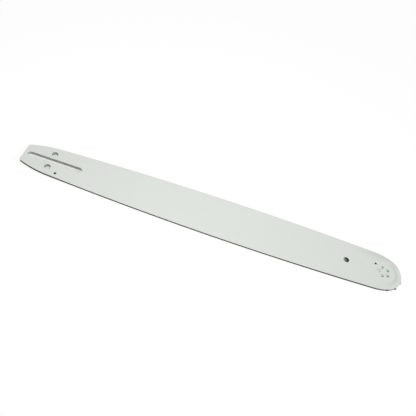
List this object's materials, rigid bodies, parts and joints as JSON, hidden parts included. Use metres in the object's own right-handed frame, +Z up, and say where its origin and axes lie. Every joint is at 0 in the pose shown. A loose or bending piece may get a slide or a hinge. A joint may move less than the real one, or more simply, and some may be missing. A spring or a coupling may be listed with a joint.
{
  "type": "chainsaw guide bar",
  "caption": "Flat laminated chainsaw guide bar with bowed rails, an open chain groove, a tail with stud slot and tension holes, and a toothed sprocket turning in its riveted round nose.",
  "frame": {"origin": "half way along the bar on its centreline, on the underside that it lies on", "axes": "+X along the bar towards the nose, +Y across the rails, +Z up out of the face"},
  "size_m": [0.5717, 0.0684, 0.0047],
  "materials": {
    "bar_face": "pale grey satin coat over steel, with bright bare rails",
    "core_steel": "dark uncoated steel",
    "sprocket_steel": "dark hardened steel",
    "bearing_steel": "ground bearing steel",
    "rivet_steel": "spun rivet ends, ground flush"
  },
  "bodies": {
    "bar": {"top_side_plate": "bar_face", "bottom_side_plate": "bar_face", "core_plate": "core_steel", "bearing_inner_race": "bearing_steel", "nose_rivets": "rivet_steel"},
    "sprocket": {"nose_sprocket": "sprocket_steel"},
    "rollers": {"bearing_roller_01": "bearing_steel", "bearing_roller_02": "bearing_steel", "bearing_roller_03": "bearing_steel", "bearing_roller_04": "bearing_steel", "bearing_roller_05": "bearing_steel", "bearing_roller_06": "bearing_steel", "bearing_roller_07": "bearing_steel", "bearing_roller_08": "bearing_steel", "bearing_roller_09": "bearing_steel", "bearing_roller_10": "bearing_steel", "bearing_roller_11": "bearing_steel", "bearing_roller_12": "bearing_steel", "bearing_roller_13": "bearing_steel", "bearing_roller_14": "bearing_steel", "bearing_roller_15": "bearing_steel", "bearing_roller_16": "bearing_steel", "bearing_roller_17": "bearing_steel", "bearing_roller_18": "bearing_steel", "bearing_roller_19": "bearing_steel"}
  },
  "joints": [
    {"name": "sprocket_spin", "type": "hinge", "parent": "bar", "child": "sprocket", "pos_m": [0.2583, 0, 0.00235], "axis": [0, 0, 1], "continuous": true},
    {"name": "roller_orbit", "type": "hinge", "parent": "bar", "child": "rollers", "pos_m": [0.2583, 0, 0.00235], "axis": [0, 0, 1], "continuous": true}
  ],
  "couplings": [
    {"joint": "roller_orbit", "follows": "sprocket_spin", "ratio": 0.5796}
  ]
}
